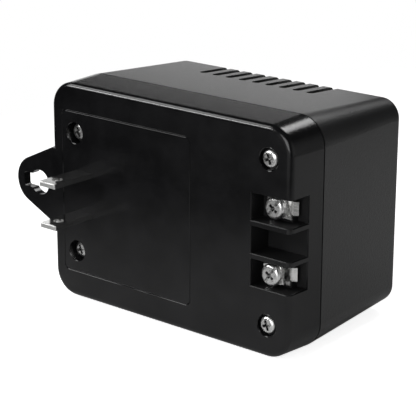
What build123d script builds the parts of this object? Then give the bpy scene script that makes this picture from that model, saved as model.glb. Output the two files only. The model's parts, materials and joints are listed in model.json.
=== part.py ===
"""Plug-in transformer: a moulded two-part case with wall blades, a mounting ear and
screw terminals, around a laminated core with a split bobbin.

Millimetres. The origin is on the wall face, in the blades' upright plane and at the case's
mid-height. The blades point along -Y, the case reaches back along +Y, the terminals are on
the +X side and +Z is up.
"""
import os
from math import radians, tan

from build123d import *

os.makedirs("parts", exist_ok=True)

# Wall blades and the ear that takes the outlet's centre screw
blade_spacing = 12.7
blade_width = 6.35
blade_thickness = 1.5
blade_reach = 15.9
blade_lift = 0.32
blade_hole_diameter = 3.3
blade_hole_from_tip = 4.5
blade_tip_corner = 0.35
blade_tip_bevel = 0.22
blade_shoulder = 1.6
blade_shoulder_depth = 1.6
blade_tail_width = 4.0
blade_tail_length = 5.0
blade_block_margin = 2.4
blade_block_depth = 5.0
ear_hole_reach = 19.45
ear_hole_diameter = 7.8
ear_slot_height = 4.6
ear_slot_reach = 6.8
ear_slot_corner = 0.8
ear_end_offset = 2.4
ear_end_radius = 7.5
ear_root_height = 24.6
ear_thickness = 2.55
ear_edge_radius = 0.4

# Laminated core, in units of one yoke width, and the coil former on it
lam_unit = 11.0
stack_depth = 22.0
former_wall = 1.2
former_fit = 0.3
flange_thickness = 2.0
divider_thickness = 1.4
flange_overhang = 10.2
flange_window_gap = 0.4
former_corner_radius = 1.0
winding_build = 8.0
winding_end_gap = 0.2
film = 0.05
tape_thickness = 0.3
pin_diameter = 0.9
pin_reach = 5.0
pin_grip = 3.0
fuse_diameter = 3.0
fuse_length = 9.0
fuse_lead_diameter = 0.8
fuse_lead_reach = 4.0
fuse_end_radius = 0.5

# Case, with the room that it leaves round the core
core_side_gap = 0.56
core_end_gap = 5.88
core_front_room = 13.9
core_back_room = 14.5
front_wall = 2.4
back_wall = 2.2
base_wall = 2.0
cover_wall = 2.4
base_depth = 13.73
base_draft = 2.48
cover_draft = 3.6
parting_gap_width = 0.55
parting_gap_depth = 0.8
corner_radius = 7.8
front_edge_radius = 1.65
rear_edge_radius = 2.0
blade_to_left_screws = 4.06
left_screw_inset = 9.39
right_screw_inset = 7.76
left_screw_spread = 36.97
right_screw_spread = 47.94
boss_diameter = 6.4
boss_web = 1.6
rib_thickness = 2.0
core_rest_overlap = 5.0
core_fit = 0.2
lip_depth = 2.0
lip_thickness = 1.0
lip_root = 3.0
lip_clearance = 0.15
panel_left = 9.37
panel_width = 51.0
panel_height = 50.6
panel_corner_radius = 1.8
groove_width = 0.5
groove_depth = 0.25
groove_flank = 40.0
mouth_bevel = 0.2
mouth_bevel_angle = 45.0

# Case screws
screw_diameter = 2.9
screw_head_diameter = 5.3
screw_head_height = 1.9
screw_crown_diameter = 2.8
screw_brow_height = 0.9
left_screw_sink = 1.7
right_screw_sink = 0.1
counterbore_diameter = 6.4
counterbore_wall = 1.2
counterbore_floor = 2.0
screw_passage = 0.2
screw_length = 19.0
pilot_clearance = 0.05
pilot_spare = 2.0
drive_width = 0.8
drive_span = 3.0
drive_depth = 1.1
drive_draft = 8.0
case_drive_angle = 20.0

# Terminals
terminal_pitch = 9.525
barrier_thickness = 1.6
bay_width = 13.67
bay_depth = 8.0
bay_wall = 1.8
terminal_inset = 7.74
pad_side_inset = 3.45
pad_height = 2.3
plate_thickness = 0.8
plate_width = 6.0
plate_end_gap = 2.4
plate_lip_width = 3.9
plate_lip_drop = 0.85
plate_lip_length = 1.5
plate_lip_angle = 36.0
tail_width = 3.8
tail_length = 3.4
tail_clearance = 0.1
washer_size = 6.0
washer_thickness = 0.8
washer_turn = 12.0
washer_fit = 0.08
terminal_screw_diameter = 3.45
terminal_head_diameter = 6.4
terminal_head_height = 1.9
terminal_crown_diameter = 4.2
terminal_brow_height = 0.8
terminal_shank = 4.3
terminal_thread_pitch = 0.79375
lower_screw_turns_out = 1.5
terminal_thread_clearance = 0.05
terminal_hole_clearance = 0.3
terminal_hole_spare = 0.6
terminal_slot_width = 0.9
terminal_slot_depth = 0.7
terminal_slot_angle = 54.0

# Insulated leads
lead_diameter = 1.7
lead_bend = 1.6
lead_straight = 1.6

# Vent slots over the rear edge
vent_count = 9
vent_pitch = 5.13
vent_width = 2.6
vent_length = 14.5
vent_shift = -0.36
vent_drop = 9.0

# Places worked out from the sizes above
core_width = 6 * lam_unit
core_height = 5 * lam_unit
left_screw_x = -blade_to_left_screws
screw_span = core_width + 2 * core_side_gap + boss_diameter
right_screw_x = left_screw_x + screw_span
core_centre = (left_screw_x + right_screw_x) / 2
case_left = left_screw_x - left_screw_inset
case_right = right_screw_x + right_screw_inset
case_width = case_right - case_left
case_centre = (case_left + case_right) / 2
case_height = core_height + 2 * core_end_gap
case_depth = front_wall + core_front_room + stack_depth + core_back_room + back_wall
core_front = front_wall + core_front_room
core_back = core_front + stack_depth
core_middle = (core_front + core_back) / 2
outside = 10.0

left_screws = [(left_screw_x, side * left_screw_spread / 2) for side in (1, -1)]
right_screws = [(right_screw_x, side * right_screw_spread / 2) for side in (1, -1)]
screw_places = left_screws + right_screws
left_screw_seat = left_screw_sink + screw_head_height
right_screw_seat = right_screw_sink + screw_head_height
screw_rows = ((left_screws, left_screw_seat), (right_screws, right_screw_seat))

terminal_x = case_right - terminal_inset
bay_left = case_right - bay_width
bay_height = terminal_pitch - barrier_thickness
bay_half = 1.5 * terminal_pitch - barrier_thickness / 2
pad_front = bay_depth - pad_height
pad_right = case_right - pad_side_inset
plate_left = bay_left + plate_end_gap
plate_front = pad_front - plate_thickness
washer_front = plate_front - washer_thickness
lower_backed_out = lower_screw_turns_out * terminal_thread_pitch
tail_end = bay_depth + bay_wall + tail_length

former_half_x = lam_unit + former_fit + former_wall
former_half_y = stack_depth / 2 + former_fit + former_wall
former_top = 1.5 * lam_unit - former_fit
flange_half_x = 2 * lam_unit - flange_window_gap
flange_half_y = stack_depth / 2 + flange_overhang
flange_middle = former_top - flange_thickness / 2
chamber_top = former_top - flange_thickness
chamber_bottom = divider_thickness / 2
winding_height = chamber_top - chamber_bottom - 2 * winding_end_gap
winding_middle = (chamber_top + chamber_bottom) / 2
coil_front = core_middle - former_half_y - film - winding_build - film - tape_thickness
lead_y = bay_depth + bay_wall + tail_length / 2 + lead_diameter / 4
blade_lead_y = blade_block_depth + blade_shoulder_depth + blade_tail_length / 2
pin_left = core_centre - flange_half_x
pin_right = core_centre + flange_half_x


def depth_plane(depth):
    """Plane parallel to the wall at a depth: sketch x is part x, sketch y is part z."""
    return Plane.XZ.offset(-depth)


def base_outline(depth, inset=0.0):
    """Rounded outline of the drafted base at a depth, drawn in by inset."""
    spread = depth * tan(radians(base_draft)) - inset
    with BuildSketch(depth_plane(depth)) as outline:
        with Locations((case_centre, 0)):
            RectangleRounded(case_width + 2 * spread, case_height + 2 * spread, corner_radius + spread)
    return outline.sketch


def cover_outline(depth, inset=0.0):
    """Rounded outline of the drafted cover at a depth, drawn in by inset."""
    shrink = (depth - base_depth) * tan(radians(cover_draft)) + inset
    spread = base_depth * tan(radians(base_draft)) - shrink
    with BuildSketch(depth_plane(depth)) as outline:
        with Locations((case_centre, 0)):
            RectangleRounded(case_width + 2 * spread, case_height + 2 * spread, corner_radius + spread)
    return outline.sketch


def discs(depth, diameter, places):
    """Circles of one diameter at a depth, at (x, z) places."""
    with BuildSketch(depth_plane(depth)) as circles:
        with Locations(*places):
            Circle(diameter / 2)
    return circles.sketch


def block(x_span, y_span, z_span, mode=Mode.ADD):
    """Rectangular block between pairs of x, y and z limits."""
    spans = (x_span, y_span, z_span)
    with Locations(Vector(*[sum(span) / 2 for span in spans])):
        Box(*[abs(high - low) for low, high in spans], mode=mode)


def cross(depth, place, angle):
    """Cross-shaped drive recess at a depth, about an (x, z) place."""
    with BuildSketch(depth_plane(depth)) as recess:
        with Locations(Location((*place, 0), angle)):
            Rectangle(drive_span, drive_width)
            Rectangle(drive_width, drive_span)
    return recess.sketch


def screw_section(place, head_top, head, shank_diameter, shank_end):
    """Half section of a screw along Y through an (x, z) place, with a crowned head."""
    x, z = place
    head_diameter, head_height, crown_diameter, brow_height = head
    rim = head_diameter / 2
    seat = head_top + head_height
    with BuildSketch(Plane.XY.offset(z)) as section:
        with BuildLine():
            crown = Line((x, head_top), (x + crown_diameter / 2, head_top))
            brow = TangentArc(crown @ 1, (x + rim, head_top + brow_height), tangent=crown % 1)
            Polyline(
                brow @ 1,
                (x + rim, seat),
                (x + shank_diameter / 2, seat),
                (x + shank_diameter / 2, shank_end - shank_diameter / 4),
                (x + shank_diameter / 4, shank_end),
                (x, shank_end),
                crown @ 0,
            )
        make_face()
    return section.sketch


def ring(inner_x, inner_y, inner_radius, build, height, middle):
    """Rounded tube section round the core's middle leg, and its height along Z."""
    with BuildSketch(Plane.XY.offset(middle - height / 2)) as section:
        with Locations((core_centre, core_middle)):
            RectangleRounded(2 * (inner_x + build), 2 * (inner_y + build), inner_radius + build)
            RectangleRounded(2 * inner_x, 2 * inner_y, inner_radius, mode=Mode.SUBTRACT)
    return section.sketch


def save(piece, name):
    """Label a finished piece and write it as the node of that name."""
    piece.label = name
    export_step(piece, f"parts/{name}.step")


# Outer forms of the two mouldings and of the ear
with BuildPart() as base_form:
    extrude(base_outline(0), amount=-base_depth)
    draft(base_form.faces().sort_by(Axis.Y)[1:-1], depth_plane(0), base_draft)
    fillet(base_form.faces().sort_by(Axis.Y)[0].edges(), front_edge_radius)

with BuildPart() as cover_form:
    extrude(cover_outline(base_depth), amount=-(case_depth - base_depth))
    draft(cover_form.faces().sort_by(Axis.Y)[1:-1], depth_plane(base_depth), -cover_draft)
    fillet(cover_form.faces().sort_by(Axis.Y)[-1].edges(), rear_edge_radius)

with BuildPart() as ear_form:
    with BuildSketch(depth_plane(0)):
        with Locations((-ear_hole_reach - ear_end_offset, blade_lift)):
            Circle(ear_end_radius)
        with Locations((case_left + base_wall / 2, blade_lift)):
            Rectangle(base_wall, ear_root_height)
        make_hull()
    extrude(amount=-ear_thickness)
    fillet(ear_form.edges().filter_by(Axis.Y, reverse=True), ear_edge_radius)

# Base shell: wall face, ear, screw bosses, blade block and terminal bays in one moulding
rib_places = [core_centre + side * 2.5 * lam_unit for side in (1, -1)]
rest_span = (core_height / 2 - core_rest_overlap, core_height / 2)
web_end = base_depth - lip_depth - lip_clearance

with BuildPart() as base_shell:
    add(base_form.part)
    loft(
        [base_outline(front_wall, base_wall), base_outline(base_depth, base_wall)],
        ruled=True,
        mode=Mode.SUBTRACT,
    )

    # Bosses and their webs, ribs that bear on the core, blade block and bay block
    boss_head = counterbore_diameter + 2 * counterbore_wall
    for places, seat in screw_rows:
        boss_head_depth = seat + counterbore_floor - front_wall / 2
        extrude(discs(front_wall / 2, boss_head, places), amount=-boss_head_depth)
    extrude(discs(front_wall / 2, boss_diameter, screw_places), amount=-(base_depth - front_wall / 2))
    for x, z in left_screws:
        block((case_left, x), (front_wall / 2, web_end), (z - boss_web / 2, z + boss_web / 2))
    for x, z in right_screws:
        block((x, case_right), (front_wall / 2, web_end), (z - boss_web / 2, z + boss_web / 2))
    for x in rib_places:
        for side in (1, -1):
            x_span = (x - rib_thickness / 2, x + rib_thickness / 2)
            wall_span = (side * rest_span[0], side * case_height / 2)
            block(x_span, (front_wall / 2, web_end), wall_span)
            block(x_span, (front_wall / 2, core_front), (side * rest_span[0], side * rest_span[1]))
    blade_block_x = blade_width / 2 + blade_block_margin
    blade_block_z = (blade_spacing + blade_thickness) / 2 + blade_block_margin
    block(
        (-blade_block_x, blade_block_x),
        (front_wall / 2, blade_block_depth),
        (blade_lift - blade_block_z, blade_lift + blade_block_z),
    )
    block(
        (bay_left - bay_wall, case_right - base_wall / 2),
        (front_wall / 2, bay_depth + bay_wall),
        (-bay_half - bay_wall, bay_half + bay_wall),
    )

    # Ear with its keyhole
    add(ear_form.part)
    with BuildSketch(depth_plane(0)) as keyhole:
        with Locations((-ear_hole_reach, blade_lift)):
            Rectangle(ear_slot_reach, ear_slot_height, align=(Align.MAX, Align.CENTER))
            fillet(keyhole.vertices().group_by(Axis.X)[0], ear_slot_corner)
            Circle(ear_hole_diameter / 2)
    extrude(amount=-ear_thickness, mode=Mode.SUBTRACT)

    # Three bays, the outer two with a pad that carries a terminal plate
    open_side = case_right + outside
    bay_z_span = (-bay_height / 2, bay_height / 2)
    block((bay_left, open_side), (-outside, bay_depth), bay_z_span, mode=Mode.SUBTRACT)
    for side in (1, -1):
        bay_z = side * terminal_pitch
        with BuildSketch(Plane.XY.offset(bay_z)):
            with BuildLine():
                Polyline(
                    (bay_left, -outside),
                    (bay_left, pad_front),
                    (pad_right, pad_front),
                    (pad_right, bay_depth),
                    (open_side, bay_depth),
                    (open_side, -outside),
                    close=True,
                )
            make_face()
        extrude(amount=bay_height / 2, both=True, mode=Mode.SUBTRACT)
        hole_diameter = terminal_screw_diameter + 2 * terminal_hole_clearance
        hole_end = washer_front + terminal_shank + terminal_hole_spare
        extrude(
            discs(pad_front, hole_diameter, [(terminal_x, bay_z)]),
            amount=-(hole_end - pad_front),
            mode=Mode.SUBTRACT,
        )
        slot_half = tail_width / 2 + tail_clearance
        block(
            (plate_left - tail_clearance, plate_left + plate_thickness + tail_clearance),
            (pad_front, bay_depth + bay_wall),
            (bay_z - slot_half, bay_z + slot_half),
            mode=Mode.SUBTRACT,
        )
        notch_half = plate_lip_width / 2 + tail_clearance
        block(
            (pad_right - plate_thickness - tail_clearance, pad_right),
            (pad_front, bay_depth),
            (bay_z - notch_half, bay_z + notch_half),
            mode=Mode.SUBTRACT,
        )

    # Softened mouths of the bays
    bay_mouth = base_shell.edges().filter_by_position(Axis.Y, -film, film)
    bay_mouth = bay_mouth.filter_by_position(Axis.X, bay_left - film, case_right - 2 * front_edge_radius)
    bay_mouth = bay_mouth.filter_by_position(Axis.Z, -bay_half - film, bay_half + film)
    chamfer(bay_mouth, mouth_bevel)

    # Blade slots, screw holes and the engraved panel line
    for side in (1, -1):
        blade_z = blade_lift + side * blade_spacing / 2
        slot_x = blade_width / 2 + film
        slot_z = blade_thickness / 2 + film
        block(
            (-slot_x, slot_x),
            (0, blade_block_depth),
            (blade_z - slot_z, blade_z + slot_z),
            mode=Mode.SUBTRACT,
        )
    for places, seat in screw_rows:
        extrude(discs(0, counterbore_diameter, places), amount=-seat, mode=Mode.SUBTRACT)
        mouths = discs(0, counterbore_diameter + 2 * mouth_bevel, places)
        extrude(mouths, amount=-mouth_bevel, taper=mouth_bevel_angle, mode=Mode.SUBTRACT)
    passage = screw_diameter + 2 * screw_passage
    extrude(discs(0, passage, screw_places), amount=-base_depth, mode=Mode.SUBTRACT)
    with BuildSketch(depth_plane(0)):
        with Locations((-panel_left + panel_width / 2, 0)):
            RectangleRounded(panel_width, panel_height, panel_corner_radius)
            RectangleRounded(
                panel_width - 2 * groove_width,
                panel_height - 2 * groove_width,
                panel_corner_radius - groove_width,
                mode=Mode.SUBTRACT,
            )
    extrude(amount=-groove_depth, taper=groove_flank, mode=Mode.SUBTRACT)

save(base_shell.part, "base_shell")

# Rear cover: drafted tub with screw bosses, core ribs, a locating lip and vent slots
with BuildPart() as rear_cover:
    add(cover_form.part)
    loft(
        [cover_outline(base_depth, cover_wall), cover_outline(case_depth - back_wall, cover_wall)],
        ruled=True,
        mode=Mode.SUBTRACT,
    )
    extrude(discs(base_depth, boss_diameter, screw_places), amount=-(case_depth - base_depth))
    for x, z in left_screws:
        block((case_left - outside, x), (base_depth, case_depth), (z - boss_web / 2, z + boss_web / 2))
    for x, z in right_screws:
        block((x, case_right + outside), (base_depth, case_depth), (z - boss_web / 2, z + boss_web / 2))
    for x in rib_places:
        for side in (1, -1):
            x_span = (x - rib_thickness / 2, x + rib_thickness / 2)
            beyond = side * (case_height / 2 + outside)
            core_side = side * (core_height / 2 + core_fit)
            block(x_span, (base_depth + lip_root, case_depth), (core_side, beyond))
            block(x_span, (core_back, case_depth), (side * rest_span[0], beyond))
    add(cover_form.part, mode=Mode.INTERSECT)

    # Shadow gap round the parting line
    with BuildSketch(depth_plane(base_depth)):
        add(cover_outline(base_depth, -outside))
        add(cover_outline(base_depth, parting_gap_depth), mode=Mode.SUBTRACT)
    extrude(amount=-parting_gap_width, mode=Mode.SUBTRACT)

    # Lip that enters the base
    lip_start = base_depth - lip_depth
    lip_inset = base_wall + lip_clearance
    with BuildSketch(depth_plane(lip_start)):
        add(base_outline(lip_start, lip_inset))
        add(base_outline(lip_start, lip_inset + lip_thickness), mode=Mode.SUBTRACT)
    extrude(amount=-(lip_depth + lip_root))

    # Pilot holes for the case screws
    pilot = screw_diameter + 2 * pilot_clearance
    for places, seat in screw_rows:
        pilot_depth = seat + screw_length + pilot_spare - base_depth
        extrude(discs(base_depth, pilot, places), amount=-pilot_depth, mode=Mode.SUBTRACT)

    # Vent slots through the top and bottom walls, over the rear edge and down the back
    vent_start = case_depth - vent_length
    for side in (1, -1):
        vent_end = side * (case_height / 2 - vent_drop)
        with BuildSketch(Plane.XY.offset(vent_end)):
            with Locations((case_centre + vent_shift, vent_start + (vent_length + outside) / 2)):
                with GridLocations(vent_pitch, 0, vent_count, 1):
                    SlotOverall(vent_length + outside, vent_width, rotation=90)
        extrude(amount=side * (vent_drop + outside), mode=Mode.SUBTRACT)

save(rear_cover.part, "rear_cover")

# Case screws, from the wall face into the cover's bosses
screw_head = (screw_head_diameter, screw_head_height, screw_crown_diameter, screw_brow_height)
with BuildPart() as case_screws:
    for places, seat in screw_rows:
        head_top = seat - screw_head_height
        for place in places:
            section = screw_section(place, head_top, screw_head, screw_diameter, seat + screw_length)
            revolve(section, axis=Axis((place[0], 0, place[1]), (0, 1, 0)))
            extrude(
                cross(head_top, place, case_drive_angle),
                amount=-drive_depth,
                taper=drive_draft,
                mode=Mode.SUBTRACT,
            )

save(case_screws.part, "case_screws")

terminal_head = (
    terminal_head_diameter,
    terminal_head_height,
    terminal_crown_diameter,
    terminal_brow_height,
)
for name, side, backed_out in (("upper", 1, 0.0), ("lower", -1, lower_backed_out)):
    # Blade with shoulders that bear on the blade block and a tail for the lead
    blade_z = blade_lift + side * blade_spacing / 2
    with BuildPart() as blade:
        with BuildSketch(Plane.XY.offset(blade_z)) as blade_outline:
            with Locations((0, -blade_reach)):
                Rectangle(blade_width, blade_reach + blade_block_depth, align=(Align.CENTER, Align.MIN))
            chamfer(blade_outline.vertices().group_by(Axis.Y)[0], blade_tip_corner)
            with Locations((0, blade_block_depth)):
                Rectangle(
                    blade_width + 2 * blade_shoulder,
                    blade_shoulder_depth,
                    align=(Align.CENTER, Align.MIN),
                )
            with Locations((0, blade_block_depth + blade_shoulder_depth)):
                Rectangle(blade_tail_width, blade_tail_length, align=(Align.CENTER, Align.MIN))
            with Locations((0, -blade_reach + blade_hole_from_tip)):
                Circle(blade_hole_diameter / 2, mode=Mode.SUBTRACT)
        extrude(amount=blade_thickness / 2, both=True)
        tip = blade.faces().sort_by(Axis.Y)[0]
        chamfer(tip.edges().filter_by(Axis.X), blade_tip_bevel)
    save(blade.part, f"blade_{name}")

    # Terminal plate: a seat on the pad, with a solder tail bent back through the pad
    terminal_z = side * terminal_pitch
    terminal_place = (terminal_x, terminal_z)
    with BuildPart() as terminal_plate:
        with BuildSketch(Plane.XY.offset(terminal_z)) as tail_strip:
            with BuildLine():
                Polyline(
                    (pad_right, plate_front),
                    (plate_left, plate_front),
                    (plate_left, tail_end),
                    (plate_left + plate_thickness, tail_end),
                    (plate_left + plate_thickness, pad_front),
                    (pad_right, pad_front),
                    close=True,
                )
            make_face()
            bend = tail_strip.vertices().group_by(Axis.X)[0].sort_by(Axis.Y)[0]
            fillet(bend, plate_thickness)
        extrude(amount=tail_width / 2, both=True)
        block(
            (plate_left + plate_thickness, pad_right),
            (plate_front, pad_front),
            (terminal_z - plate_width / 2, terminal_z + plate_width / 2),
        )

        # Narrow lip, stepped back through the pad's notch and turned out past the pad
        lip_way = Vector(1, 0).rotate(Axis.Z, plate_lip_angle)
        lip_side = lip_way.rotate(Axis.Z, 90) * plate_thickness
        flare_start = Vector(pad_right, plate_front + plate_lip_drop)
        flare_end = flare_start + lip_way * plate_lip_length
        heel = plate_thickness * tan(radians((90 - plate_lip_angle) / 2))
        with BuildSketch(Plane.XY.offset(terminal_z)):
            with BuildLine():
                Polyline(
                    (pad_right - plate_thickness, plate_front),
                    (pad_right, plate_front),
                    flare_start,
                    flare_end,
                    flare_end + lip_side,
                    flare_start + Vector(-plate_thickness, heel),
                    close=True,
                )
            make_face()
        extrude(amount=plate_lip_width / 2, both=True)
        tapped = terminal_screw_diameter + 2 * terminal_thread_clearance
        extrude(discs(plate_front, tapped, [terminal_place]), amount=-plate_thickness, mode=Mode.SUBTRACT)
    save(terminal_plate.part, f"terminal_plate_{name}")

    # Square clamp washer, as it hangs under the head
    with BuildPart() as terminal_washer:
        with BuildSketch(depth_plane(washer_front - backed_out)):
            with Locations(Location((*terminal_place, 0), washer_turn)):
                Rectangle(washer_size, washer_size)
                Circle(terminal_screw_diameter / 2 + washer_fit, mode=Mode.SUBTRACT)
        extrude(amount=-washer_thickness)
    save(terminal_washer.part, f"terminal_washer_{name}")

    # Terminal screw with a slot and a cross drive
    with BuildPart() as terminal_screw:
        head_seat = washer_front - backed_out
        head_top = head_seat - terminal_head_height
        section = screw_section(
            terminal_place,
            head_top,
            terminal_head,
            terminal_screw_diameter,
            head_seat + terminal_shank,
        )
        revolve(section, axis=Axis((terminal_x, 0, terminal_z), (0, 1, 0)))
        extrude(
            cross(head_top, terminal_place, terminal_slot_angle),
            amount=-drive_depth,
            taper=drive_draft,
            mode=Mode.SUBTRACT,
        )
        with BuildSketch(depth_plane(head_top)):
            with Locations(Location((*terminal_place, 0), terminal_slot_angle)):
                Rectangle(2 * terminal_head_diameter, terminal_slot_width)
        extrude(amount=-terminal_slot_depth, mode=Mode.SUBTRACT)
    save(terminal_screw.part, f"terminal_screw_{name}")

    # Primary lead, from a bobbin pin to the blade's tail
    pin_z = side * flange_middle
    tail_face = blade_z + side * blade_thickness / 2
    with BuildPart() as primary_lead:
        with BuildLine() as primary_path:
            FilletPolyline(
                (pin_left - pin_reach, blade_lead_y, pin_z),
                (0, blade_lead_y, pin_z),
                (0, blade_lead_y, tail_face),
                radius=lead_bend,
            )
        with BuildSketch(Plane(primary_path.line @ 0, z_dir=primary_path.line % 0)):
            Circle(lead_diameter / 2)
        sweep()
    save(primary_lead.part, f"primary_lead_{name}")

    # Secondary lead, from a bobbin pin to the terminal plate's tail
    with BuildPart() as secondary_lead:
        with BuildLine() as secondary_path:
            FilletPolyline(
                (pin_right + pin_reach, lead_y, pin_z),
                (pin_right + pin_reach + lead_straight, lead_y, pin_z),
                (plate_left - lead_straight, lead_y, terminal_z),
                (plate_left, lead_y, terminal_z),
                radius=lead_bend,
            )
        with BuildSketch(Plane(secondary_path.line @ 0, z_dir=secondary_path.line % 0)):
            Circle(lead_diameter / 2)
        sweep()
    save(secondary_lead.part, f"secondary_lead_{name}")

# Core: E stack with its legs down, closed by the I stack
window_places = [(core_centre + side * 1.5 * lam_unit, 0) for side in (1, -1)]
with BuildPart() as core_e_stack:
    with BuildSketch(depth_plane(core_front)):
        with Locations((core_centre, core_height / 2)):
            Rectangle(core_width, 4 * lam_unit, align=(Align.CENTER, Align.MAX))
        with Locations(*window_places):
            Rectangle(lam_unit, 3 * lam_unit, mode=Mode.SUBTRACT)
    extrude(amount=-stack_depth)
save(core_e_stack.part, "core_e_stack")

with BuildPart() as core_i_stack:
    with BuildSketch(depth_plane(core_front)):
        with Locations((core_centre, -core_height / 2)):
            Rectangle(core_width, lam_unit, align=(Align.CENTER, Align.MIN))
    extrude(amount=-stack_depth)
save(core_i_stack.part, "core_i_stack")

# Bobbin: square tube on the middle leg with two end flanges and a divider
pin_spots = [
    (end * flange_half_x, depth - core_middle, side * flange_middle, end)
    for end, depth in ((-1, blade_lead_y), (1, lead_y))
    for side in (1, -1)
]
with BuildPart() as bobbin:
    leg_x = lam_unit + former_fit
    leg_y = stack_depth / 2 + former_fit
    tube = ring(leg_x, leg_y, former_fit, former_wall, 2 * former_top, 0)
    extrude(tube, amount=2 * former_top)
    flange_places = (
        (flange_middle, flange_thickness),
        (0, divider_thickness),
        (-flange_middle, flange_thickness),
    )
    for middle, thickness in flange_places:
        with BuildSketch(Plane.XY.offset(middle - thickness / 2)):
            with Locations((core_centre, core_middle)):
                RectangleRounded(2 * flange_half_x, 2 * flange_half_y, former_corner_radius)
                Rectangle(2 * leg_x, 2 * leg_y, mode=Mode.SUBTRACT)
        extrude(amount=thickness)
    for x, y, z, end in pin_spots:
        with BuildSketch(Plane((core_centre + x, core_middle + y, z), z_dir=(-end, 0, 0))):
            Circle(pin_diameter / 2 + film)
        extrude(amount=pin_grip, mode=Mode.SUBTRACT)
save(bobbin.part, "bobbin")

with BuildPart() as bobbin_pins:
    for x, y, z, end in pin_spots:
        with BuildSketch(Plane((core_centre + x - end * pin_grip, core_middle + y, z), z_dir=(end, 0, 0))):
            Circle(pin_diameter / 2)
        extrude(amount=pin_grip + pin_reach)
save(bobbin_pins.part, "bobbin_pins")

# Windings, one in each chamber, and the tape round each
wound_x = former_half_x + film
wound_y = former_half_y + film
for name, side in (("secondary", 1), ("primary", -1)):
    middle = side * winding_middle
    with BuildPart() as winding:
        turns = ring(wound_x, wound_y, former_corner_radius, winding_build, winding_height, middle)
        extrude(turns, amount=winding_height)
    save(winding.part, f"{name}_winding")

    taped = winding_build + film
    with BuildPart() as tape:
        wrap = ring(
            wound_x + taped,
            wound_y + taped,
            former_corner_radius + taped,
            tape_thickness,
            winding_height,
            middle,
        )
        extrude(wrap, amount=winding_height)
    save(tape.part, f"{name}_tape")

# Thermal fuse across the front of the primary winding, its leads turned in to the coil
fuse_y = coil_front - film - fuse_diameter / 2
fuse_z = -winding_middle
with BuildPart() as thermal_fuse:
    with BuildSketch(Plane.YZ.offset(core_centre - fuse_length / 2)):
        with Locations((fuse_y, fuse_z)):
            Circle(fuse_diameter / 2)
    extrude(amount=fuse_length)
    fillet(thermal_fuse.edges(), fuse_end_radius)
    for side in (1, -1):
        lead_start = core_centre + side * (fuse_length / 2 - fuse_end_radius)
        lead_corner = core_centre + side * (fuse_length / 2 + fuse_lead_reach)
        with BuildLine() as fuse_path:
            FilletPolyline(
                (lead_start, fuse_y, fuse_z),
                (lead_corner, fuse_y, fuse_z),
                (lead_corner, coil_front - film, fuse_z),
                radius=fuse_lead_diameter,
            )
        with BuildSketch(Plane(fuse_path.line @ 0, z_dir=fuse_path.line % 0)):
            Circle(fuse_lead_diameter / 2)
        sweep()
save(thermal_fuse.part, "thermal_fuse")
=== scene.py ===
import json
import math

import bpy
from mathutils import Matrix, Vector


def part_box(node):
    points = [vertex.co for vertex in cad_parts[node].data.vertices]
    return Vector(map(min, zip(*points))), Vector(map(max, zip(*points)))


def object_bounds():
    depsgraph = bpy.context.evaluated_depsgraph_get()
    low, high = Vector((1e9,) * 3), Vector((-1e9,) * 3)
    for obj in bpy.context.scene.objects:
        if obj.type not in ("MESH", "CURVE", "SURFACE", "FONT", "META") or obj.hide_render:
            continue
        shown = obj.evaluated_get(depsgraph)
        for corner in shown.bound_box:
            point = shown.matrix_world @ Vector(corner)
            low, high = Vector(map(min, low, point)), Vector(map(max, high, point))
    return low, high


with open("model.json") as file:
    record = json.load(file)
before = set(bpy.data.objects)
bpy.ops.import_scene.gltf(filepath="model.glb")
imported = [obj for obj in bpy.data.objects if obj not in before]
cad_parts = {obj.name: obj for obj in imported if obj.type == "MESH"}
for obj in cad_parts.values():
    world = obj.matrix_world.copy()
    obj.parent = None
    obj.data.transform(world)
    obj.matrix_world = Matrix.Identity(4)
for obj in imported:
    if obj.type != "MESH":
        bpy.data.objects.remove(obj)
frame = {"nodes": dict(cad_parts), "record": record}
cad_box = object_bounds()
scene = bpy.context.scene
nodes = frame["nodes"]
record = frame["record"]
floor_level = cad_box[0][2]


# Camera at the photograph's viewing angle

EYE = Vector((0.32785, -0.33057, 0.14209))
CAMERA_RIGHT = Vector((0.762913, 0.646492, 0.003478))
CAMERA_UP = Vector((-0.196697, 0.226988, 0.953827))
CAMERA_BACK = Vector((0.615852, -0.728371, 0.300335))
LENS = 140.23
SENSOR = 36.0
FRAME_SHIFT = 0.0012
NEAREST = 0.01

camera_data = bpy.data.cameras.new("photo_camera")
camera_data.lens = LENS
camera_data.sensor_width = SENSOR
camera_data.sensor_fit = "HORIZONTAL"
camera_data.shift_x = -FRAME_SHIFT
camera_data.shift_y = FRAME_SHIFT
camera_data.clip_start = NEAREST
camera = bpy.data.objects.new("photo_camera", camera_data)
camera_axes = Matrix((CAMERA_RIGHT, CAMERA_UP, CAMERA_BACK)).transposed().to_4x4()
camera.matrix_world = Matrix.Translation(EYE) @ camera_axes
scene.collection.objects.link(camera)
scene.camera = camera


# Node helpers

NOISE_MIDDLE = (0.3, 0.7)
WAVE_RADIANS = 20.0


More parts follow.
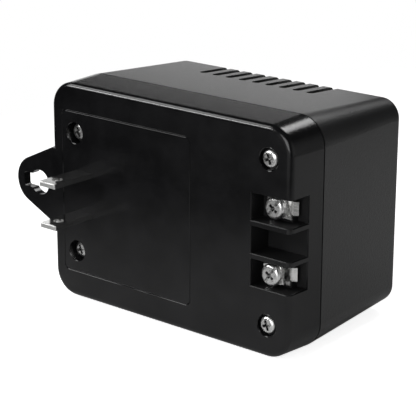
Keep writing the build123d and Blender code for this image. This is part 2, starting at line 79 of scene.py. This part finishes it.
class Graph:
    """A node tree under construction, with one method per kind of node in use."""

    def __init__(self, tree):
        self.tree = tree
        self.tree.nodes.clear()

    def add(self, kind, **settings):
        node = self.tree.nodes.new(kind)
        for key, value in settings.items():
            setattr(node, key, value)
        return node

    def join(self, source, target):
        self.tree.links.new(source, target)

    def feed(self, socket, value):
        """Links an output, or sets a plain value."""
        if isinstance(value, bpy.types.NodeSocket):
            self.join(value, socket)
        else:
            socket.default_value = value

    def place(self):
        """Coordinates in metres, in the part's own frame."""
        return self.add("ShaderNodeTexCoord").outputs["Object"]

    def coordinate(self, vector, axis):
        """One of a vector's coordinates, by its axis letter."""
        node = self.add("ShaderNodeSeparateXYZ")
        self.join(vector, node.inputs["Vector"])
        return node.outputs[axis]

    def stretch(self, vector, scale):
        mapping = self.add("ShaderNodeMapping")
        self.join(vector, mapping.inputs["Vector"])
        mapping.inputs["Scale"].default_value = scale
        return mapping.outputs["Vector"]

    def noise(self, vector, scale=1.0, detail=2.0, roughness=0.5):
        node = self.add("ShaderNodeTexNoise")
        self.join(vector, node.inputs["Vector"])
        node.inputs["Scale"].default_value = scale
        node.inputs["Detail"].default_value = detail
        node.inputs["Roughness"].default_value = roughness
        return node.outputs["Fac"]

    def cells(self, vector, scale):
        node = self.add("ShaderNodeTexVoronoi")
        self.join(vector, node.inputs["Vector"])
        node.inputs["Scale"].default_value = scale
        return node.outputs["Distance"]

    def bands(self, vector, pitch, direction):
        """Ridges at an even pitch: at scale one, the wave texture turns 20 radians per unit."""
        node = self.add("ShaderNodeTexWave", bands_direction=direction)
        self.join(vector, node.inputs["Vector"])
        node.inputs["Scale"].default_value = 2 * math.pi / (WAVE_RADIANS * pitch)
        return node.outputs["Fac"]

    def span(self, value, low, high, start=0.0, end=1.0):
        """Maps low..high to start..end, held at both ends."""
        node = self.add("ShaderNodeMapRange")
        self.join(value, node.inputs["Value"])
        node.inputs["From Min"].default_value = low
        node.inputs["From Max"].default_value = high
        node.inputs["To Min"].default_value = start
        node.inputs["To Max"].default_value = end
        return node.outputs["Result"]

    def vary(self, noise, start=0.0, end=1.0):
        """Spreads the middle stretch of a noise's values over start..end."""
        return self.span(noise, *NOISE_MIDDLE, start, end)

    def math(self, operation, first, second):
        node = self.add("ShaderNodeMath", operation=operation)
        self.feed(node.inputs[0], first)
        self.feed(node.inputs[1], second)
        return node.outputs["Value"]

    def along(self, vector, axis):
        node = self.add("ShaderNodeVectorMath", operation="DOT_PRODUCT")
        self.join(vector, node.inputs[0])
        node.inputs[1].default_value = axis
        return node.outputs["Value"]

    def distance(self, vector, point):
        node = self.add("ShaderNodeVectorMath", operation="DISTANCE")
        self.join(vector, node.inputs[0])
        node.inputs[1].default_value = point
        return node.outputs["Value"]

    def inside(self, vector, low, high):
        """One inside an upright box between two corners, zero outside it."""
        share = 1.0
        for axis, start, end in zip("XYZ", low, high):
            value = self.coordinate(vector, axis)
            share = self.math("MULTIPLY", share, self.math("GREATER_THAN", value, start))
            share = self.math("MULTIPLY", share, self.math("LESS_THAN", value, end))
        return share

    def recess_shade_factor(self, reach):
        """Falls from one on open surfaces towards zero in the piece's own recesses; used to paint shade into
        them.
        """
        node = self.add("ShaderNodeAmbientOcclusion", only_local=True)
        node.inputs["Distance"].default_value = reach
        return node.outputs["AO"]

    def tint(self, value, dark, light):
        """Mixes two colours by a value, held between them."""
        node = self.add("ShaderNodeMix", data_type="RGBA")
        self.join(value, node.inputs["Factor"])
        node.inputs["A"].default_value = (*dark, 1)
        node.inputs["B"].default_value = (*light, 1)
        return node.outputs["Result"]

    def bump(self, height, distance, strength=1.0, normal=None):
        node = self.add("ShaderNodeBump")
        self.join(height, node.inputs["Height"])
        node.inputs["Distance"].default_value = distance
        node.inputs["Strength"].default_value = strength
        if normal is not None:
            self.join(normal, node.inputs["Normal"])
        return node.outputs["Normal"]

    def ray(self, kind):
        """One for rays of a kind, zero for others."""
        return self.add("ShaderNodeLightPath").outputs[kind]

    def glow(self, strength):
        node = self.add("ShaderNodeEmission")
        self.join(strength, node.inputs["Strength"])
        return node.outputs["Emission"]

    def output(self, shader):
        self.join(shader, self.add("ShaderNodeOutputMaterial").inputs["Surface"])

    def surface(self, **inputs):
        shader = self.add("ShaderNodeBsdfPrincipled")
        for key, value in inputs.items():
            self.feed(shader.inputs[key.replace("_", " ")], value)
        self.output(shader.outputs["BSDF"])


def new_material(name):
    material = bpy.data.materials.new(name)
    material.use_nodes = True
    return material, Graph(material.node_tree)


# Terminal bays: the box round the openings that the record states, behind the front face and inside the
# edge; the base is rougher there, and painted darker as shade

BAY_SKIN = 0.0003
FACE_SKIN = 0.00003
EDGE_SKIN = 0.0008

openings = [opening["box_m"] for opening in record["physics"]["openings"]]
bay_low = (
    min(low[0] for low, high in openings) - BAY_SKIN,
    FACE_SKIN,
    min(low[2] for low, high in openings) - BAY_SKIN,
)
bay_high = (
    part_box("base_shell")[1][0] - EDGE_SKIN,
    max(high[1] for low, high in openings) + BAY_SKIN,
    max(high[2] for low, high in openings) + BAY_SKIN,
)


# Materials, one function per finish

SIDES_FROM = (0.0010, 0.0022)
FRONT_GRAIN = 0.3
BAY_ROUGHNESS = 0.55


def satin_black():
    """Moulded base: a satin front face, finely grained sides and rough terminal bays, with shade painted
    into the bays as their darkest colour.
    """
    material, graph = new_material("satin_black")
    place = graph.place()
    on_sides = graph.span(graph.coordinate(place, "Y"), *SIDES_FROM)
    bay_rough_and_painted_shade = graph.inside(place, bay_low, bay_high)
    cloud = graph.noise(place, scale=90, detail=6, roughness=0.65)
    wipe = graph.noise(graph.stretch(place, (500, 500, 2600)), detail=3)
    grain = graph.noise(place, scale=2400, detail=3, roughness=0.6)
    grain_share = graph.span(on_sides, 0.0, 1.0, FRONT_GRAIN, 1.0)
    normal = graph.bump(graph.math("MULTIPLY", grain, grain_share), distance=0.00006, strength=0.5)
    normal = graph.bump(wipe, distance=0.000004, strength=0.4, normal=normal)
    satin = graph.vary(wipe, 0.15, 0.21)
    grained = graph.math("MULTIPLY", on_sides, graph.vary(grain, 0.17, 0.24))
    rough = graph.math("MAXIMUM", satin, grained)
    rough = graph.math("MAXIMUM", rough, graph.math("MULTIPLY", bay_rough_and_painted_shade, BAY_ROUGHNESS))
    mottle = graph.span(cloud, low=0.4, high=0.6)
    # Painted shade: inside the terminal bays the colour is held at its darkest
    graph.surface(
        Base_Color=graph.tint(
            graph.math("SUBTRACT", mottle, bay_rough_and_painted_shade),
            dark=(0.0026, 0.0026, 0.0030),
            light=(0.0062, 0.0062, 0.0068),
        ),
        Roughness=rough,
        IOR=1.44,
        Normal=normal,
    )
    return material


def textured_black():
    """Spark-eroded cover: a fine leather-like grain that breaks up the gloss."""
    material, graph = new_material("textured_black")
    place = graph.place()
    cloud = graph.noise(place, scale=45, detail=3)
    grain = graph.noise(place, scale=2600, detail=3, roughness=0.6)
    pits = graph.cells(place, scale=1900)
    specks = graph.noise(place, scale=1500, detail=2, roughness=0.6)
    normal = graph.bump(grain, distance=0.00008, strength=0.6)
    normal = graph.bump(pits, distance=0.00003, strength=0.35, normal=normal)
    normal = graph.bump(specks, distance=0.00012, strength=0.5, normal=normal)
    graph.surface(
        Base_Color=graph.tint(
            graph.vary(cloud),
            dark=(0.010, 0.010, 0.0105),
            light=(0.015, 0.015, 0.0155),
        ),
        Roughness=graph.span(grain, low=0.25, high=0.75, start=0.30, end=0.42),
        IOR=1.56,
        Normal=normal,
    )
    return material


# Painted shade in recesses: how far the occlusion looks, and how dark it paints the colour
PAINTED_SHADE_REACH = 0.0008
PAINTED_SHADE_RANGE = (0.35, 0.85)
PATCH_SPREAD = (0.35, 0.65)
PATCH_SHADE = (0.7, 1.0)
SHEAR_DEPTH = 0.0002
SHEAR_ROUGHNESS = 0.55


def plated(name, dark, light, rough, mottle, streak, dents=None, painted_recess_shade=False, sheared_from=None):
    """Plated metal with drawn lines along one axis and a mottled gloss.

    The mottling can be dented, shade can be painted into the piece's recesses by darkening the colour there,
    and a blade's sheared end can be rough.
    """
    material, graph = new_material(name)
    place = graph.place()
    patches = graph.noise(place, scale=mottle, detail=4, roughness=0.6)
    lines = graph.noise(graph.stretch(place, streak), detail=2)
    normal = graph.bump(lines, distance=0.000002, strength=0.6)
    if dents is not None:
        normal = graph.bump(patches, distance=dents, normal=normal)
    shade = graph.span(patches, *PATCH_SPREAD, *PATCH_SHADE)
    # Painted shade: the colour darkens in the piece's own recesses, such as drive slots, where less light
    # reaches
    if painted_recess_shade:
        shade = graph.math("MULTIPLY", shade, graph.span(graph.recess_shade_factor(PAINTED_SHADE_REACH), *PAINTED_SHADE_RANGE))
    gloss = graph.vary(patches, *rough)
    if sheared_from is not None:
        depth = graph.coordinate(place, "Y")
        shear_start = sheared_from + SHEAR_DEPTH
        sheared = graph.span(depth, shear_start, shear_start + SHEAR_DEPTH, SHEAR_ROUGHNESS, 0.0)
        gloss = graph.math("MAXIMUM", gloss, sheared)
    graph.surface(
        Base_Color=graph.tint(shade, dark, light),
        Metallic=1.0,
        Roughness=gloss,
        Normal=normal,
    )
    return material


def sleeved():
    """Insulated wire: satin rubbery black with a little dust."""
    material, graph = new_material("lead_sleeve")
    place = graph.place()
    dust = graph.noise(place, scale=900, detail=4, roughness=0.6)
    graph.surface(
        Base_Color=graph.tint(
            graph.span(dust, low=0.35, high=0.7),
            dark=(0.022, 0.022, 0.022),
            light=(0.045, 0.044, 0.043),
        ),
        Roughness=graph.vary(dust, 0.4, 0.6),
        Normal=graph.bump(dust, distance=0.00002, strength=0.3),
    )
    return material


SHEET_PITCH = 0.001
TURN_PITCH = 0.00157


def laminated():
    """Varnished steel sheets, stacked from front to back."""
    material, graph = new_material("core_steel")
    place = graph.place()
    sheets = graph.bands(place, SHEET_PITCH, "Y")
    varnish = graph.noise(place, scale=300, detail=4)
    graph.surface(
        Base_Color=graph.tint(
            graph.vary(varnish),
            dark=(0.10, 0.09, 0.08),
            light=(0.22, 0.21, 0.20),
        ),
        Metallic=0.7,
        Roughness=graph.vary(varnish, 0.35, 0.55),
        Normal=graph.bump(sheets, distance=0.0001, strength=0.8),
    )
    return material


def moulded_nylon():
    """Bobbin: cloudy natural nylon, a little translucent."""
    material, graph = new_material("bobbin_plastic")
    place = graph.place()
    cloud = graph.noise(place, scale=150, detail=4)
    grain = graph.noise(place, scale=2500)
    graph.surface(
        Base_Color=graph.tint(
            graph.vary(cloud),
            dark=(0.62, 0.59, 0.52),
            light=(0.72, 0.70, 0.64),
        ),
        Roughness=graph.vary(cloud, 0.4, 0.5),
        Subsurface_Weight=0.1,
        Normal=graph.bump(grain, distance=0.00001, strength=0.4),
    )
    return material


def enamelled_wire():
    """Wound copper: one ridge per turn."""
    material, graph = new_material("winding_wire")
    place = graph.place()
    turns = graph.bands(place, TURN_PITCH, "Z")
    shade = graph.noise(place, scale=500, detail=3)
    graph.surface(
        Base_Color=graph.tint(
            graph.vary(shade),
            dark=(0.42, 0.14, 0.05),
            light=(0.60, 0.25, 0.10),
        ),
        Metallic=0.9,
        Roughness=graph.vary(shade, 0.25, 0.4),
        Normal=graph.bump(turns, distance=0.0003, strength=0.8),
    )
    return material


def polyester_tape():
    """Yellow tape with wrinkles across its wrap."""
    material, graph = new_material("winding_tape")
    place = graph.place()
    wrinkles = graph.noise(graph.stretch(place, (120, 120, 500)), detail=3)
    graph.surface(
        Base_Color=graph.tint(
            graph.vary(wrinkles),
            dark=(0.55, 0.38, 0.05),
            light=(0.68, 0.50, 0.10),
        ),
        Roughness=graph.vary(wrinkles, 0.25, 0.4),
        Normal=graph.bump(wrinkles, distance=0.00005, strength=0.5),
    )
    return material


blade_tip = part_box("blade_upper")[0][1]
finishes = {
    "base_plastic": satin_black(),
    "cover_plastic": textured_black(),
    "blade_metal": plated(
        "blade_metal",
        dark=(0.50, 0.50, 0.49),
        light=(0.74, 0.74, 0.73),
        rough=(0.09, 0.14),
        mottle=700,
        streak=(1500, 60, 1500),
        sheared_from=blade_tip,
    ),
    "screw_metal": plated(
        "screw_metal",
        dark=(0.06, 0.06, 0.06),
        light=(0.94, 0.94, 0.93),
        rough=(0.24, 0.36),
        mottle=900,
        streak=(900, 900, 900),
        dents=0.00010,
        painted_recess_shade=True,
    ),
    "terminal_metal": plated(
        "terminal_metal",
        dark=(0.20, 0.20, 0.19),
        light=(0.88, 0.88, 0.87),
        rough=(0.14, 0.26),
        mottle=600,
        streak=(300, 300, 4000),
        dents=0.00006,
        painted_recess_shade=True,
    ),
    "lead_sleeve": sleeved(),
    "core_steel": laminated(),
    "bobbin_plastic": moulded_nylon(),
    "pin_metal": plated(
        "pin_metal",
        dark=(0.60, 0.59, 0.56),
        light=(0.70, 0.69, 0.66),
        rough=(0.2, 0.35),
        mottle=900,
        streak=(2000, 2000, 200),
    ),
    "winding_wire": enamelled_wire(),
    "winding_tape": polyester_tape(),
    "fuse_body": plated(
        "fuse_body",
        dark=(0.38, 0.38, 0.36),
        light=(0.48, 0.48, 0.46),
        rough=(0.25, 0.4),
        mottle=500,
        streak=(400, 2000, 2000),
    ),
}
for subpart in record["subparts"]:
    slots = nodes[subpart["node"]].data.materials
    slots.clear()
    slots.append(finishes[subpart["material_slot"]])


# Stage

def flat_piece(name, corners, material):
    """An object with one flat face between the given corners."""
    mesh = bpy.data.meshes.new(name)
    mesh.from_pydata(corners, [], [list(range(len(corners)))])
    mesh.materials.append(material)
    piece = bpy.data.objects.new(name, mesh)
    scene.collection.objects.link(piece)
    return piece


# Floor: a pale disc that shows white to the camera and keeps the object's shadow, with a painted pool of
# light that fades towards its rim

FLOOR_CENTRE = Vector((0.11, 0.13, floor_level))
FLOOR_RADIUS = 0.30
FLOOR_SIDES = 96
FLOOR_LIGHT_POOL_FADE = (0.175, 0.285)
FLOOR_POOL_RIM_SHARE = 0.04
FLOOR_TINT = (0.84, 0.84, 0.84)
FLOOR_GLOW_DIP = 0.15
BLACK = (0.0, 0.0, 0.0)


def floor_paper():
    """Pale paper with a painted pool of light, its colour fading out towards the rim, with a glow for the
    camera alone that keeps it white.
    """
    material, graph = new_material("floor_paper")
    place = graph.place()
    # Painted pool of light: the paper's colour fades from full near the object to a dark rim, standing in
    # for light falling off
    light_pool = graph.span(graph.distance(place, FLOOR_CENTRE), *FLOOR_LIGHT_POOL_FADE, 1.0, FLOOR_POOL_RIM_SHARE)
    fibres = graph.vary(graph.noise(place, scale=800, detail=3), 0.95, 1.0)
    diffuse = graph.add("ShaderNodeBsdfDiffuse")
    graph.join(graph.tint(graph.math("MULTIPLY", light_pool, fibres), BLACK, FLOOR_TINT), diffuse.inputs["Color"])
    white = graph.math("SUBTRACT", 1.0, graph.math("MULTIPLY", light_pool, FLOOR_GLOW_DIP))
    both = graph.add("ShaderNodeAddShader")
    graph.join(diffuse.outputs["BSDF"], both.inputs[0])
    graph.join(graph.glow(graph.math("MULTIPLY", graph.ray("Is Camera Ray"), white)), both.inputs[1])
    graph.output(both.outputs["Shader"])
    return material


rim = [2 * math.pi * side / FLOOR_SIDES for side in range(FLOOR_SIDES)]
floor_rim = [FLOOR_CENTRE + FLOOR_RADIUS * Vector((math.cos(turn), math.sin(turn), 0.0)) for turn in rim]
floor = flat_piece("floor", floor_rim, floor_paper())


# Backdrop card, low behind the left end: metal and gloss mirror it, the camera looks through it

CARD_MIDDLE = Vector((-0.138, 0.140, floor_level))
CARD_FACING = Vector((0.62, -0.785, 0.0)).normalized()
CARD_HALF_WIDTH = 0.122
CARD_TOP = 0.13
CARD_FADE = (0.073, 0.085)
CARD_SLOPE = (-0.204, -0.161, 1.0)
CARD_LEVEL = 1.2


def backdrop_board():
    """A glow that ends at a sloping line, and that the camera doesn't see."""
    material, graph = new_material("backdrop_board")
    strength = graph.span(graph.along(graph.place(), CARD_SLOPE), *CARD_FADE, CARD_LEVEL, 0.0)
    unseen = graph.add("ShaderNodeMixShader")
    graph.join(graph.ray("Is Camera Ray"), unseen.inputs["Fac"])
    graph.join(graph.glow(strength), unseen.inputs[1])
    graph.join(graph.add("ShaderNodeBsdfTransparent").outputs["BSDF"], unseen.inputs[2])
    graph.output(unseen.outputs["Shader"])
    return material


card_side = Vector((-CARD_FACING.y, CARD_FACING.x, 0.0)) * CARD_HALF_WIDTH
card_rise = Vector((0.0, 0.0, CARD_TOP - floor_level))
card_corners = [
    CARD_MIDDLE - card_side,
    CARD_MIDDLE + card_side,
    CARD_MIDDLE + card_side + card_rise,
    CARD_MIDDLE - card_side + card_rise,
]
card = flat_piece("backdrop_card", card_corners, backdrop_board())


# World: a white background, and for other rays a dim room that is brighter low in front and at the far side

ROOM_LEVEL = 0.03
FRONT_LEVEL = 0.5
FRONT_MIDDLE = (0.0, -0.94, -0.34)
FRONT_SPREAD = (0.745, 0.95)
SIDE_LEVEL = 0.40
SIDE_MIDDLE = (0.96, 0.28, 0.0)
SIDE_SPREAD = (0.70, 0.98)
BEHIND_SPREAD = (0.93, 0.97)
WHITE = (1, 1, 1, 1)

world = bpy.data.worlds.new("studio")
scene.world = world
world.use_nodes = True
graph = Graph(world.node_tree)
direction = graph.add("ShaderNodeTexCoord").outputs["Generated"]
front = graph.span(graph.along(direction, FRONT_MIDDLE), *FRONT_SPREAD, 0.0, FRONT_LEVEL)
side = graph.span(graph.along(direction, SIDE_MIDDLE), *SIDE_SPREAD, 0.0, SIDE_LEVEL)
room = graph.math("ADD", graph.math("ADD", front, side), ROOM_LEVEL)
behind = graph.span(graph.along(direction, -CAMERA_BACK), *BEHIND_SPREAD)
mirrored = graph.math("MULTIPLY", graph.ray("Is Glossy Ray"), behind)
direct = graph.math("MAXIMUM", graph.ray("Is Camera Ray"), graph.ray("Is Transmission Ray"))
white = graph.math("MAXIMUM", direct, mirrored)
room_share = graph.math("SUBTRACT", 1.0, white)
background = graph.add("ShaderNodeBackground")
background.inputs["Color"].default_value = WHITE
graph.join(graph.math("ADD", white, graph.math("MULTIPLY", room, room_share)), background.inputs["Strength"])
graph.join(background.outputs["Background"], graph.add("ShaderNodeOutputWorld").inputs["Surface"])


# Softboxes

OBJECT_MIDDLE = Vector((0.03, 0.02, 0.0))


def softbox(name, place, size, watts):
    """A rectangular lamp that faces the object."""
    light = bpy.data.lights.new(name, "AREA")
    light.shape = "RECTANGLE"
    light.size = size[0]
    light.size_y = size[1]
    light.energy = watts
    lamp = bpy.data.objects.new(name, light)
    lamp.location = place
    lamp.rotation_euler = (OBJECT_MIDDLE - Vector(place)).to_track_quat("-Z", "Y").to_euler()
    scene.collection.objects.link(lamp)


softbox("key", place=(-0.53, -0.54, 0.43), size=(0.45, 0.12), watts=3.3)
softbox("top", place=(-0.53, -0.25, 0.65), size=(0.45, 0.25), watts=1.7)
softbox("front", place=(0.25, -0.70, 0.25), size=(0.50, 0.50), watts=2.8)
softbox("back", place=(0.03, 0.60, 0.70), size=(0.30, 0.30), watts=2.1)

scene.view_settings.view_transform = "Standard"
